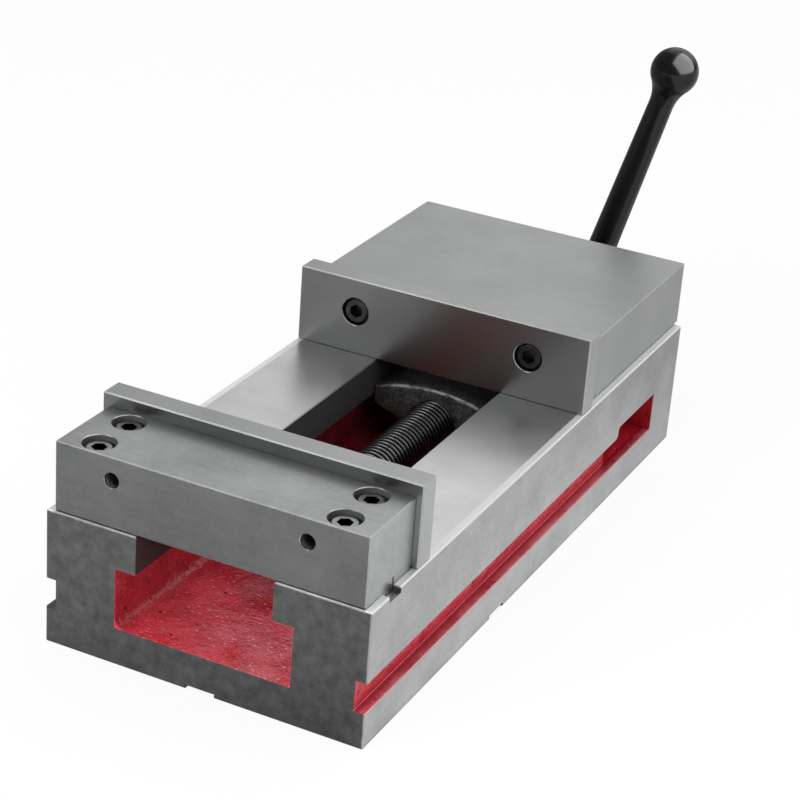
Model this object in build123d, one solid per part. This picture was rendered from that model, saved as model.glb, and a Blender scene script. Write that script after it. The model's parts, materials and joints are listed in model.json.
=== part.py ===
from build123d import *
import math
import os

# Precision machine vise with a 150 mm jaw. Millimetres, +Z up, +Y from the fixed jaw to the handle.
# The origin is the centre of the bed's underside.

# Bed
bed_length = 338.0
bed_width = 151.0
bed_height = 63.0
bed_corner_break = 0.6
bed_rear_chamfer = 2.0
slot_width = 64.0
rail_thickness = 17.7
channel_width = 83.0
floor_clearance = 2.8
channel_round_left = 5.0
channel_round_right = 1.5
rear_wall_thickness = 24.0
rear_wall_drop = 9.0
groove_depth = 5.0
groove_bottom = 16.8
groove_height = 14.0
window_from_front = 262.0
window_length = 46.0
window_height = 19.7
window_step_round = 3.0
window_corner_round = 2.0
window_core_lead = 4.5
window_core_round = 4.0
keyway_width = 14.0
keyway_depth = 2.1
cross_keyway_from_front = 127.0

# Jaw blocks
jaw_side_inset = 3.5
jaw_height = 32.0
jaw_corner_break = 0.5
fixed_jaw_setback = 1.2
fixed_jaw_depth = 39.0
fixed_jaw_relief = 1.6
movable_jaw_depth = 119.0
jaw_opening = 159.0
jaw_bolt_from_side = 15.5
jaw_bolt_from_front = 8.5
jaw_bolt_spacing = 22.0
jaw_bolt_recess = 2.0
jaw_bolt_counterbore_radius = 7.2
jaw_bolt_length = 38.0

# Cross key between the fixed jaw and the bed
key_width = 10.0
key_from_front = 20.0
key_depth_in_bed = 2.7
key_depth_in_jaw = 3.9
key_inset = 0.4
key_clearance = 0.1
key_edge_break = 0.5

# Jaw plates
plate_side_inset = 0.5
plate_height = 38.0
plate_thickness = 11.5
plate_corner_break = 0.6
plate_screw_from_side = 30.0
plate_screw_height = 21.5
plate_screw_length = 20.0
plate_screw_counterbore_radius = 7.0
plate_screw_recess = 0.8
spare_thread_radius = 3.4
hole_mouth_break = 0.3

# Fasteners
thread_clearance = 0.05
m8_passage = 0.4
m6_passage = 0.3
tapped_end_gap = 1.5
m8_radius = 4.0
m8_head_radius = 6.5
m8_head_height = 8.0
m8_hex = 6.0
m8_hex_depth = 5.0
m8_head_break = 1.1
m6_radius = 3.0
m6_head_radius = 5.0
m6_head_height = 6.0
m6_hex = 5.0
m6_hex_depth = 3.0
m6_head_break = 0.8
shank_end_break = 0.8
socket_turn = 30.0

# Lead screw
screw_drop = 24.5
screw_radius = 11.0
screw_front_from_front = 56.0
screw_relief_radius = 9.2
screw_relief_length = 4.0
screw_collar_radius = 17.5
screw_collar_length = 8.0
journal_radius = 10.0
running_clearance = 0.05
hex_end_size = 17.0
hex_end_length = 45.0

# Thrust bearing and rear support
bearing_radius = 17.5
bearing_washer_thickness = 3.0
bearing_gap = 4.0
bearing_ball_radius = 2.4
bearing_ball_count = 12
bearing_pitch_radius = 13.8
bearing_cage_thickness = 2.0
bearing_cage_rim = 0.6
bearing_clearance = 0.25
bush_radius = 13.0
cap_width = 62.0
cap_height = 34.0
cap_thickness = 10.0
cap_round = 8.0
cap_edge_break = 0.8
cap_bore_radius = 10.6
cap_screw_x = 24.0
cap_screw_z = 9.0
cap_screw_length = 16.0
cap_screw_recess = 0.4
cap_counterbore_radius = 5.5
lock_collar_radius = 17.0
lock_collar_length = 10.0
lock_collar_gap = 0.4
collar_screw_gap = 0.1
collar_screw_depth = 0.8

# Nut with its hook, the half ball and their adjusting screw
nut_from_front = 209.5
nut_length = 74.5
nut_side_clearance = 0.5
nut_crown_drop = 7.0
nut_shoulder_drop = 13.0
nut_cheek_drop = 22.0
nut_boss_radius = 18.0
nut_boss_drop = 2.9
nut_edge_round = 1.8
nut_mouth_break = 1.0
wing_width = 81.4
wing_bottom_drop = 30.0
wing_clearance = 0.4
wing_from_nut_front = 22.5
hook_width = 40.0
hook_rise = 20.0
hook_nose = 3.0
hook_slope_offset = 40.5
half_ball_radius = 11.0
half_ball_rise = 9.0
half_ball_gap = 0.1
half_ball_stand_off = 0.8
pocket_side_clearance = 2.0
pocket_rise = 22.0
pocket_back_clearance = 16.0
tongue_drop = 6.0
tongue_side_clearance = 0.15
tongue_rear_inset = 13.2
tongue_edge_break = 1.0
set_screw_radius = 5.0
set_screw_length = 34.0
set_screw_hex = 5.0
set_screw_gap = 0.3
set_screw_break = 1.0

# Handle
hub_radius = 18.0
hub_length = 44.0
hub_round = 4.0
hub_gap = 5.4
hub_hex_clearance = 0.06
lever_from_hub_end = 18.0
lever_angle = 15.4
lever_length = 142.2
boss_root_radius = 13.0
boss_tip_radius = 10.5
boss_reach = 31.0
boss_edge_break = 1.0
boss_lever_gap = 0.05
lever_spigot_radius = 6.0
lever_spigot_start = 13.5
lever_spigot_gap = 0.5
lever_root_radius = 7.5
lever_neck_radius = 6.4
lever_ball_radius = 12.3
lever_neck_curve = 22.0
handle_washer_radius = 11.0
handle_washer_thickness = 2.0
handle_screw_length = 16.0

# Shape finding and cutting
match_limit = 0.01
cut_overrun = 0.1

# Places worked out from the sizes above
front = -bed_length / 2
rear = bed_length / 2
half_slot = slot_width / 2
half_channel = channel_width / 2
rail_underside = bed_height - rail_thickness
rear_wall_height = bed_height - rear_wall_drop
screw_height = bed_height - screw_drop
nut_crown_height = bed_height - nut_crown_drop
nut_shoulder_height = bed_height - nut_shoulder_drop
nut_cheek_height = bed_height - nut_cheek_drop
wing_bottom = bed_height - wing_bottom_drop
hook_top = bed_height + hook_rise
half_ball_height = bed_height + half_ball_rise
pocket_top = bed_height + pocket_rise
floor_thickness = screw_height - nut_boss_radius - floor_clearance
jaw_width = bed_width - 2 * jaw_side_inset
jaw_top = bed_height + jaw_height
fixed_jaw_front = front + fixed_jaw_setback
fixed_jaw_back = fixed_jaw_front + fixed_jaw_depth
fixed_plate_face = fixed_jaw_back + plate_thickness
movable_plate_face = fixed_plate_face + jaw_opening
movable_jaw_front = movable_plate_face + plate_thickness
movable_jaw_back = movable_jaw_front + movable_jaw_depth
plate_width = bed_width - 2 * plate_side_inset
plate_screw_x = plate_width / 2 - plate_screw_from_side
plate_screw_z = bed_height + plate_screw_height
jaw_bolt_x = jaw_width / 2 - jaw_bolt_from_side
jaw_bolt_y = [
    fixed_jaw_front + jaw_bolt_from_front,
    fixed_jaw_front + jaw_bolt_from_front + jaw_bolt_spacing,
]
key_y = front + key_from_front
wall_front = rear - rear_wall_thickness
rear_washer_front = wall_front - bearing_washer_thickness
front_washer_back = rear_washer_front - bearing_gap
screw_collar_back = front_washer_back - bearing_washer_thickness
screw_collar_front = screw_collar_back - screw_collar_length
ball_y = (rear_washer_front + front_washer_back) / 2
cap_back = rear + cap_thickness
cap_screw_seat = cap_back - cap_screw_recess - m6_head_height
lock_collar_front = cap_back + lock_collar_gap
lock_collar_back = lock_collar_front + lock_collar_length
hub_front = lock_collar_back + hub_gap
hub_back = hub_front + hub_length
hex_end_back = hub_back - 1.0
hex_end_front = hex_end_back - hex_end_length
lever_y = hub_back - lever_from_hub_end
nut_front = front + nut_from_front
nut_back = nut_front + nut_length
half_ball_y = nut_front + hook_slope_offset
hook_slope_sum = half_ball_y + half_ball_height
pocket_back = nut_back + pocket_back_clearance


def span_box(x0, x1, y0, y1, z0, z1):
    """A box between two limits on each axis."""
    middle = Pos((x0 + x1) / 2, (y0 + y1) / 2, (z0 + z1) / 2)
    return middle * Box(x1 - x0, y1 - y0, z1 - z0)


def rod_y(radius, y0, y1, x=0.0, z=0.0):
    """A cylinder along Y."""
    return Pos(x, (y0 + y1) / 2, z) * Rot(90, 0, 0) * Cylinder(radius, y1 - y0)


def rod_z(radius, z0, z1, x=0.0, y=0.0):
    """A cylinder along Z."""
    return Pos(x, y, (z0 + z1) / 2) * Cylinder(radius, z1 - z0)


def prism_y(face, y0, y1):
    """A face drawn in X and Z, carried along Y."""
    return Pos(0, y0, 0) * extrude(Plane.XZ * face, amount=-(y1 - y0))


def prism_x(face, x0, x1):
    """A face drawn in Y and Z, carried along X."""
    return Pos(x0, 0, 0) * extrude(Plane.YZ * face, amount=x1 - x0)


def polygon(points):
    """A face with straight sides through the points."""
    return make_face(Polyline(*points, close=True))


def corners_near(face, points):
    """The corners of a face that lie at the given points."""
    found = []
    for x, y in points:
        found += [v for v in face.vertices() if math.hypot(v.X - x, v.Y - y) < match_limit]
    return found


def break_mouths(body, radius, axis, place):
    """Chamfers the round holes of one radius where they open in the face at place on axis."""
    rims = [
        edge for edge in body.edges().filter_by(GeomType.CIRCLE)
        if abs(edge.radius - radius) < match_limit
        and abs(getattr(edge.arc_center, axis) - place) < match_limit
    ]
    return chamfer(rims, hole_mouth_break)


def turned(points, z=screw_height):
    """A profile of radius and Y, turned about the screw's axis."""
    return Pos(0, 0, z) * revolve(polygon(points), Axis.Y)


def ring(inner, outer, y0, y1):
    """A flat ring about the screw's axis."""
    return turned([(inner, y0), (outer, y0), (outer, y1), (inner, y1)])


def hexagon(across_flats):
    """A hexagon face, a flat at each side."""
    return RegularPolygon(across_flats / math.sqrt(3), 6)


def cap_screw(radius, length, head_radius, head_height, head_break, hex_size, hex_depth):
    """A socket head cap screw that stands on its head's underside, shank down."""
    head = Pos(0, 0, head_height / 2) * Cylinder(head_radius, head_height)
    head = chamfer(head.edges().group_by(Axis.Z)[-1], head_break)
    shank = Pos(0, 0, -length / 2) * Cylinder(radius, length)
    shank = chamfer(shank.edges().group_by(Axis.Z)[0], shank_end_break)
    socket = Rot(0, 0, socket_turn) * extrude(hexagon(hex_size), amount=hex_depth)
    socket = Pos(0, 0, head_height - hex_depth) * socket
    return head + shank - socket


def m8_screw(length):
    return cap_screw(m8_radius, length, m8_head_radius, m8_head_height, m8_head_break, m8_hex, m8_hex_depth)


def m6_screw(length):
    return cap_screw(m6_radius, length, m6_head_radius, m6_head_height, m6_head_break, m6_hex, m6_hex_depth)


def group(parts):
    """Separate solids kept together in one node."""
    return Compound(children=list(parts))


def both_sides(distance):
    return (-distance, distance)


# Bed


def channel_profile():
    """The T-shaped channel, open at the top, with its upper edges broken."""
    lip = bed_corner_break
    top = bed_height
    outline = polygon([
        (-half_slot - lip, top + 1.0),
        (-half_slot - lip, top),
        (-half_slot, top - lip),
        (-half_slot, rail_underside),
        (-half_channel, rail_underside),
        (-half_channel, floor_thickness),
        (half_channel, floor_thickness),
        (half_channel, rail_underside),
        (half_slot, rail_underside),
        (half_slot, top - lip),
        (half_slot + lip, top),
        (half_slot + lip, top + 1.0),
    ])
    left = corners_near(outline, [(-half_channel, floor_thickness)])
    outline = fillet(left, channel_round_left)
    right = corners_near(outline, [(half_channel, floor_thickness)])
    return fillet(right, channel_round_right)


def side_recess(side):
    """The clamping groove along one side and the window that it ends in."""
    start = front + window_from_front
    end = start + window_length
    low = groove_bottom
    high = groove_bottom + groove_height
    top = groove_bottom + window_height
    outline = polygon([
        (front - 1.0, low),
        (end, low),
        (end, top),
        (start, top),
        (start, high),
        (front - 1.0, high),
    ])
    outline = fillet(corners_near(outline, [(start, high)]), window_step_round)
    outline = fillet(corners_near(outline, [(start, top)]), window_corner_round)
    outer = bed_width / 2
    shallow = prism_x(outline, outer - groove_depth, outer + 1.0)
    core_start = start - window_core_lead
    core = polygon([(core_start, low), (end, low), (end, top), (core_start, top)])
    front_corners = corners_near(core, [(core_start, low), (core_start, top)])
    deep = prism_x(fillet(front_corners, window_core_round), half_channel - 1.0, outer - groove_depth)
    recess = shallow + deep
    return recess if side > 0 else mirror(recess, Plane.YZ)


def make_bed():
    half = bed_width / 2
    body = span_box(-half, half, front, rear, 0, bed_height)
    body = chamfer(body.edges(), bed_corner_break)
    heel = polygon([
        (rear - bed_rear_chamfer, -cut_overrun),
        (rear + cut_overrun, bed_rear_chamfer),
        (rear + cut_overrun, -cut_overrun),
    ])
    body -= prism_x(heel, -half - 1, half + 1)
    body -= prism_y(channel_profile(), front - 1, wall_front)
    wall_top = rear_wall_height
    body -= span_box(-half_slot, half_slot, wall_front - 1, rear + 1, wall_top, bed_height + 1)
    for side in (-1, 1):
        body -= side_recess(side)
    body -= span_box(-keyway_width / 2, keyway_width / 2, front - 1, rear + 1, -1, keyway_depth)
    cross_low = front + cross_keyway_from_front - keyway_width / 2
    body -= span_box(-half - 1, half + 1, cross_low, cross_low + keyway_width, -1, keyway_depth)
    key_floor = bed_height - key_depth_in_bed
    half_key = key_width / 2
    body -= span_box(-half - 1, half + 1, key_y - half_key, key_y + half_key, key_floor, bed_height + 1)
    bolt_tip = jaw_top - jaw_bolt_recess - m8_head_height - jaw_bolt_length
    for x in both_sides(jaw_bolt_x):
        for y in jaw_bolt_y:
            body -= rod_z(m8_radius + thread_clearance, bolt_tip - tapped_end_gap, bed_height + 1, x, y)
    body -= rod_y(bush_radius + running_clearance, wall_front - 1, rear + 1, 0, screw_height)
    hole_end = cap_screw_seat - cap_screw_length - tapped_end_gap
    for x in both_sides(cap_screw_x):
        for z in both_sides(cap_screw_z):
            body -= rod_y(m6_radius + thread_clearance, hole_end, rear + 1, x, screw_height + z)
    return body


# Fixed jaw


def make_fixed_jaw():
    half = jaw_width / 2
    body = span_box(-half, half, fixed_jaw_front, fixed_jaw_back, bed_height, jaw_top)
    body = chamfer(body.edges(), jaw_corner_break)
    relief = polygon([
        (fixed_jaw_back - fixed_jaw_relief, bed_height - cut_overrun),
        (fixed_jaw_back + cut_overrun, bed_height + fixed_jaw_relief),
        (fixed_jaw_back + cut_overrun, bed_height - cut_overrun),
    ])
    body -= prism_x(relief, -half - 1, half + 1)
    half_key = key_width / 2
    key_roof = bed_height + key_depth_in_jaw
    body -= span_box(-half - 1, half + 1, key_y - half_key, key_y + half_key, bed_height - 1, key_roof)
    seat = jaw_top - jaw_bolt_recess - m8_head_height
    for x in both_sides(jaw_bolt_x):
        for y in jaw_bolt_y:
            body -= rod_z(m8_radius + m8_passage, bed_height - 1, jaw_top, x, y)
            body -= rod_z(jaw_bolt_counterbore_radius, seat, jaw_top + 1, x, y)
    hole_end = fixed_plate_face - plate_screw_recess - m8_head_height - plate_screw_length - tapped_end_gap
    for x in both_sides(plate_screw_x):
        body -= rod_y(spare_thread_radius, fixed_jaw_front - 1, fixed_jaw_back, x, plate_screw_z)
        body -= rod_y(m8_radius + thread_clearance, hole_end, fixed_jaw_back + 1, x, plate_screw_z)
    body = break_mouths(body, jaw_bolt_counterbore_radius, "Z", jaw_top)
    return break_mouths(body, spare_thread_radius, "Y", fixed_jaw_front)


def make_jaw_key():
    """The bar that locks the fixed jaw square across the bed."""
    half = jaw_width / 2 - key_inset
    half_key = key_width / 2 - key_clearance
    low = bed_height - key_depth_in_bed + key_clearance
    high = bed_height + key_depth_in_jaw - key_clearance
    bar = span_box(-half, half, key_y - half_key, key_y + half_key, low, high)
    return chamfer(bar.edges(), key_edge_break)


def make_fixed_jaw_bolts():
    seat = jaw_top - jaw_bolt_recess - m8_head_height
    bolts = []
    for x in both_sides(jaw_bolt_x):
        for y in jaw_bolt_y:
            bolts.append(Pos(x, y, seat) * m8_screw(jaw_bolt_length))
    return group(bolts)


# Jaw plates


def jaw_plate(face_y, direction):
    """A hardened plate whose working face is at face_y and looks along direction on Y."""
    back_y = face_y - direction * plate_thickness
    low_y, high_y = sorted((face_y, back_y))
    half = plate_width / 2
    plate = span_box(-half, half, low_y, high_y, bed_height, bed_height + plate_height)
    plate = chamfer(plate.edges(), plate_corner_break)
    seat_y = face_y - direction * (plate_screw_recess + m8_head_height)
    mouth_low, mouth_high = sorted((seat_y, face_y + direction))
    for x in both_sides(plate_screw_x):
        plate -= rod_y(m8_radius + m8_passage, low_y - 1, high_y + 1, x, plate_screw_z)
        plate -= rod_y(plate_screw_counterbore_radius, mouth_low, mouth_high, x, plate_screw_z)
    return break_mouths(plate, plate_screw_counterbore_radius, "Y", face_y)


def plate_screws(face_y, direction):
    seat_y = face_y - direction * (plate_screw_recess + m8_head_height)
    turn = Rot(-90 * direction, 0, 0)
    screws = []
    for x in both_sides(plate_screw_x):
        screws.append(Pos(x, seat_y, plate_screw_z) * turn * m8_screw(plate_screw_length))
    return group(screws)


# Movable jaw, nut and half ball


def hook_pocket():
    """The hollow under the movable jaw that the nut's hook works in."""
    stand_off = half_ball_stand_off * math.sqrt(2)
    slope = hook_slope_sum - stand_off
    low = bed_height - tongue_drop - 1
    outline = polygon([
        (slope - low, low),
        (pocket_back, low),
        (pocket_back, pocket_top),
        (slope - pocket_top, pocket_top),
    ])
    half = hook_width / 2 + pocket_side_clearance
    return prism_x(outline, -half, half)


def make_movable_jaw():
    half = jaw_width / 2
    body = span_box(-half, half, movable_jaw_front, movable_jaw_back, bed_height, jaw_top)
    body = chamfer(body.edges(), jaw_corner_break)
    half_tongue = half_slot - tongue_side_clearance
    tongue_back = movable_jaw_back - tongue_rear_inset
    tongue = span_box(
        -half_tongue, half_tongue,
        movable_jaw_front, tongue_back,
        bed_height - tongue_drop, bed_height + 2,
    )
    body += chamfer(tongue.edges().group_by(Axis.Z)[0], tongue_edge_break)
    body -= hook_pocket()
    body -= Pos(0, half_ball_y, half_ball_height) * Sphere(half_ball_radius + half_ball_gap)
    set_hole = set_screw_radius + thread_clearance
    body -= rod_y(set_hole, pocket_back - 1, movable_jaw_back + 1, 0, half_ball_height)
    hole_end = movable_plate_face + plate_screw_recess + m8_head_height + plate_screw_length + tapped_end_gap
    for x in both_sides(plate_screw_x):
        body -= rod_y(m8_radius + thread_clearance, movable_jaw_front - 1, hole_end, x, plate_screw_z)
    return body


def nut_section():
    """The nut seen along the screw: an arched crown over a round boss."""
    half = half_slot - nut_side_clearance
    side_x = math.sqrt(nut_boss_radius ** 2 - nut_boss_drop ** 2)
    side_z = screw_height - nut_boss_drop
    crown = ThreePointArc((-half, nut_shoulder_height), (0, nut_crown_height), (half, nut_shoulder_height))
    right = Polyline((half, nut_shoulder_height), (half, nut_cheek_height), (side_x, side_z))
    boss = ThreePointArc((side_x, side_z), (0, screw_height - nut_boss_radius), (-side_x, side_z))
    left = Polyline((-side_x, side_z), (-half, nut_cheek_height), (-half, nut_shoulder_height))
    return make_face(crown + right + boss + left)


def make_nut():
    body = prism_y(nut_section(), nut_front, nut_back)
    body = fillet(body.faces().sort_by(Axis.Y)[0].edges(), nut_edge_round)
    half_wing = wing_width / 2
    wing_top = rail_underside - wing_clearance
    body += span_box(-half_wing, half_wing, nut_front + wing_from_nut_front, nut_back, wing_bottom, wing_top)
    root = nut_shoulder_height
    nose_y = hook_slope_sum - hook_top + hook_nose
    hook = polygon([
        (hook_slope_sum - root, root),
        (nut_back, root),
        (nut_back, hook_top),
        (nose_y, hook_top),
        (nose_y, hook_top - hook_nose),
    ])
    body += prism_x(hook, -hook_width / 2, hook_width / 2)
    bore = screw_radius + running_clearance
    body -= rod_y(bore, nut_front - 1, nut_back + 1, 0, screw_height)
    mouth = [
        edge for edge in body.faces().sort_by(Axis.Y)[0].edges().filter_by(GeomType.CIRCLE)
        if abs(edge.radius - bore) < match_limit
    ]
    return chamfer(mouth, nut_mouth_break)


def make_half_ball():
    """The segment that turns the nut's pull into a downward pull on the jaw."""
    low_half = (Align.CENTER, Align.CENTER, Align.MAX)
    ball = Sphere(half_ball_radius, arc_size1=-90, arc_size2=0, align=low_half)
    return Pos(0, half_ball_y, half_ball_height) * Rot(-45, 0, 0) * Pos(0, 0, -half_ball_gap) * ball


def make_jaw_set_screw():
    tip = nut_back + set_screw_gap
    end = tip + set_screw_length
    body = rod_y(set_screw_radius, tip, end, 0, half_ball_height)
    body = chamfer(body.edges().group_by(Axis.Y)[0], set_screw_break)
    socket = Pos(0, end - set_screw_hex, half_ball_height) * Rot(-90, 0, 0) * extrude(
        hexagon(set_screw_hex), amount=set_screw_hex
    )
    return body - socket


# Lead screw and its bearings


def make_lead_screw():
    tip = front + screw_front_from_front
    thread_end = screw_collar_front - screw_relief_length
    core = screw_relief_radius
    body = turned([
        (0, tip),
        (core, tip),
        (screw_radius, tip + screw_radius - core),
        (screw_radius, thread_end - screw_radius + core),
        (core, thread_end),
        (core, screw_collar_front),
        (screw_collar_radius, screw_collar_front),
        (screw_collar_radius, screw_collar_back),
        (journal_radius, screw_collar_back),
        (journal_radius, hex_end_front),
        (0, hex_end_front),
    ])
    hex_start = Pos(0, hex_end_front, screw_height) * Rot(-90, 0, 0)
    body += hex_start * extrude(hexagon(hex_end_size), amount=hex_end_length)
    hole_bottom = hub_back - handle_screw_length + handle_washer_thickness - tapped_end_gap
    return body - rod_y(m8_radius + thread_clearance, hole_bottom, hex_end_back + 1, 0, screw_height)


def bearing_washer(y0, y1):
    """A thrust washer with the shallow track that the balls run in."""
    washer = ring(journal_radius + running_clearance, bearing_radius, y0, y1)
    track = Pos(0, ball_y, screw_height) * Rot(90, 0, 0) * Torus(
        bearing_pitch_radius, bearing_ball_radius + bearing_clearance
    )
    return washer - track


def ball_places():
    step = 360 / bearing_ball_count
    for i in range(bearing_ball_count):
        angle = math.radians(i * step)
        x = bearing_pitch_radius * math.cos(angle)
        z = screw_height + bearing_pitch_radius * math.sin(angle)
        yield x, z


def make_thrust_balls():
    return group([Pos(x, ball_y, z) * Sphere(bearing_ball_radius) for x, z in ball_places()])


def make_thrust_cage():
    half = bearing_cage_thickness / 2
    rim = bearing_ball_radius + bearing_clearance + bearing_cage_rim
    cage = ring(bearing_pitch_radius - rim, bearing_pitch_radius + rim, ball_y - half, ball_y + half)
    for x, z in ball_places():
        cage -= rod_y(bearing_ball_radius + bearing_clearance, ball_y - half - 1, ball_y + half + 1, x, z)
    return cage


def make_rear_cap():
    """The plate that holds the bush in the bed's rear wall."""
    outline = RectangleRounded(cap_width, cap_height, cap_round)
    body = prism_y(Pos(0, screw_height) * outline, rear, cap_back)
    body = chamfer(body.edges().group_by(Axis.Y)[-1], cap_edge_break)
    body -= rod_y(cap_bore_radius, rear - 1, cap_back + 1, 0, screw_height)
    for x in both_sides(cap_screw_x):
        for z in both_sides(cap_screw_z):
            body -= rod_y(m6_radius + m6_passage, rear - 1, cap_back, x, screw_height + z)
            body -= rod_y(cap_counterbore_radius, cap_screw_seat, cap_back + 1, x, screw_height + z)
    return body


def make_rear_cap_screws():
    screws = []
    for x in both_sides(cap_screw_x):
        for z in both_sides(cap_screw_z):
            place = Pos(x, cap_screw_seat, screw_height + z) * Rot(-90, 0, 0)
            screws.append(place * m6_screw(cap_screw_length))
    return group(screws)


def make_lock_collar():
    collar = ring(journal_radius + running_clearance, lock_collar_radius, lock_collar_front, lock_collar_back)
    middle = (lock_collar_front + lock_collar_back) / 2
    top = screw_height + lock_collar_radius
    return collar - rod_z(m6_radius + thread_clearance, screw_height + journal_radius - 1, top + 1, 0, middle)


def make_collar_set_screw():
    middle = (lock_collar_front + lock_collar_back) / 2
    low = screw_height + journal_radius + collar_screw_gap
    high = screw_height + lock_collar_radius - collar_screw_depth
    body = rod_z(m6_radius, low, high, 0, middle)
    socket = Pos(0, middle, high - m6_radius) * extrude(hexagon(m6_radius), amount=m6_radius)
    return body - socket


# Handle


def lever_turn():
    """Carries a piece drawn up the Z axis to the lever's place and lean."""
    return Pos(0, lever_y, screw_height) * Rot(0, lever_angle, 0)


def make_handle_hub():
    y0, y1, r = hub_front, hub_back, hub_radius
    outline = polygon([(0, y0), (r, y0), (r, y1), (0, y1)])
    outline = fillet(corners_near(outline, [(r, y0), (r, y1)]), hub_round)
    body = Pos(0, 0, screw_height) * revolve(outline, Axis.Y)
    boss = Cone(boss_root_radius, boss_tip_radius, boss_reach, align=(Align.CENTER, Align.CENTER, Align.MIN))
    body += lever_turn() * chamfer(boss.edges().group_by(Axis.Z)[-1], boss_edge_break)
    hole = Pos(0, 0, lever_spigot_start - lever_spigot_gap) * Cylinder(
        lever_spigot_radius + thread_clearance, boss_reach, align=(Align.CENTER, Align.CENTER, Align.MIN)
    )
    body -= lever_turn() * hole
    socket = hexagon(hex_end_size + 2 * hub_hex_clearance)
    bore = Pos(0, y0 - 1, screw_height) * Rot(-90, 0, 0) * extrude(socket, amount=y1 - y0 + 2)
    return body - bore


def make_handle_lever():
    """A tapered lever that runs out through a hollow curve into a round ball."""
    ball = lever_ball_radius
    neck = lever_neck_radius
    curve = lever_neck_curve
    reach = math.sqrt((ball + curve) ** 2 - (neck + curve) ** 2)
    start = lever_length - reach
    share = ball / (ball + curve)
    meet = ((neck + curve) * share, lever_length - reach * share)
    half = math.atan2(reach, neck + curve) / 2
    mid = (neck + curve - curve * math.cos(half), start + curve * math.sin(half))
    tip = lever_length + ball
    spread = math.atan2(meet[0], lever_length - meet[1])
    side = math.pi - (math.pi - spread) / 2
    ball_mid = (ball * math.sin(side), lever_length - ball * math.cos(side))
    root = boss_reach + boss_lever_gap
    stem = Polyline(
        (0, tip), (0, lever_spigot_start), (lever_spigot_radius, lever_spigot_start),
        (lever_spigot_radius, root), (lever_root_radius, root), (neck, start),
    )
    hollow = ThreePointArc((neck, start), mid, meet)
    dome = ThreePointArc(meet, ball_mid, (0, tip))
    face = Plane.XZ * make_face(stem + hollow + dome)
    return lever_turn() * revolve(face, Axis.Z)


def make_handle_washer():
    return ring(m8_radius + m8_passage, handle_washer_radius, hub_back, hub_back + handle_washer_thickness)


def make_handle_screw():
    seat = hub_back + handle_washer_thickness
    return Pos(0, seat, screw_height) * Rot(-90, 0, 0) * m8_screw(handle_screw_length)


def make_parts():
    """Every node of the vise, by name."""
    journal = journal_radius + running_clearance
    return {
        "bed": make_bed(),
        "fixed_jaw": make_fixed_jaw(),
        "jaw_key": make_jaw_key(),
        "fixed_jaw_bolts": make_fixed_jaw_bolts(),
        "fixed_jaw_plate": jaw_plate(fixed_plate_face, 1),
        "fixed_plate_screws": plate_screws(fixed_plate_face, 1),
        "movable_jaw": make_movable_jaw(),
        "movable_jaw_plate": jaw_plate(movable_plate_face, -1),
        "movable_plate_screws": plate_screws(movable_plate_face, -1),
        "nut": make_nut(),
        "half_ball": make_half_ball(),
        "jaw_set_screw": make_jaw_set_screw(),
        "lead_screw": make_lead_screw(),
        "thrust_washer_front": bearing_washer(screw_collar_back, front_washer_back),
        "thrust_washer_rear": bearing_washer(rear_washer_front, wall_front),
        "thrust_balls": make_thrust_balls(),
        "thrust_cage": make_thrust_cage(),
        "bearing_bush": ring(journal, bush_radius, wall_front, rear),
        "rear_cap": make_rear_cap(),
        "rear_cap_screws": make_rear_cap_screws(),
        "lock_collar": make_lock_collar(),
        "collar_set_screw": make_collar_set_screw(),
        "handle_hub": make_handle_hub(),
        "handle_lever": make_handle_lever(),
        "handle_washer": make_handle_washer(),
        "handle_screw": make_handle_screw(),
    }


os.makedirs("parts", exist_ok=True)
for name, part in make_parts().items():
    export_step(part, f"parts/{name}.step")
    print(name, round(part.volume))
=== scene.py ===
# %% [markdown]
# A precision machine vise, dressed for a studio picture. The solids of every part come from the packed
# CAD model, called the frame here, and they stay where it puts them. This lesson adds what CAD leaves
# out: the camera, the light, the finish of each surface, the thread of the lead screw, and smooth
# shading for what was turned on a lathe. The first step loads the frame. Lengths are in mm, which MM
# turns into metres; only the studio's floor and lamps are given in metres.

# %% Load the frame
import json
import math

import bmesh
import bpy
import numpy as np
from mathutils import Matrix, Vector


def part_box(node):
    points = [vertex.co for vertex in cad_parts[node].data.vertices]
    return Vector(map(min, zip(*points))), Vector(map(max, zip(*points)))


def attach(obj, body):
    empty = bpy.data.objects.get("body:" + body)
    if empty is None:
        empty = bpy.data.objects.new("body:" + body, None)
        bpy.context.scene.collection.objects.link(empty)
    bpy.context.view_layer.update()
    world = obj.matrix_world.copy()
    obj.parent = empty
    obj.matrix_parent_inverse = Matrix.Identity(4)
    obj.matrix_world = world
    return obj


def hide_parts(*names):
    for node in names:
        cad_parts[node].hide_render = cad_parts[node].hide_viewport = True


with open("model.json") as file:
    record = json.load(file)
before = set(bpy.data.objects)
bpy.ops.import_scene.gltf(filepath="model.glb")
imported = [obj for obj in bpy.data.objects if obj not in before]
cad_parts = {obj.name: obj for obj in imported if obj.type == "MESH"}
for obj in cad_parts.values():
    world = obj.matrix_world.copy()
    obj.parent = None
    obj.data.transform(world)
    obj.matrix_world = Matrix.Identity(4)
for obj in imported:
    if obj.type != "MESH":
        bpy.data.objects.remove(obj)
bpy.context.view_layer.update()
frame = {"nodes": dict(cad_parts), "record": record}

MM = 0.001

# %% [markdown]
# The camera stands in front of the vise, a little to its right and above it, and looks at it through a
# long lens, which keeps the bed's edges nearly parallel. It is also turned a few degrees about its own
# line of sight. Its place and angles are values that can be read and changed, and its axes are worked
# out from them: forward from azimuth and elevation, then right and up turned about forward.

# %% Camera
camera_place = Vector((406.06, -867.32, 521.29)) * MM
camera_azimuth = 25.01
camera_elevation = 25.377
camera_roll = 4.395
camera_lens = 104.54


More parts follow.
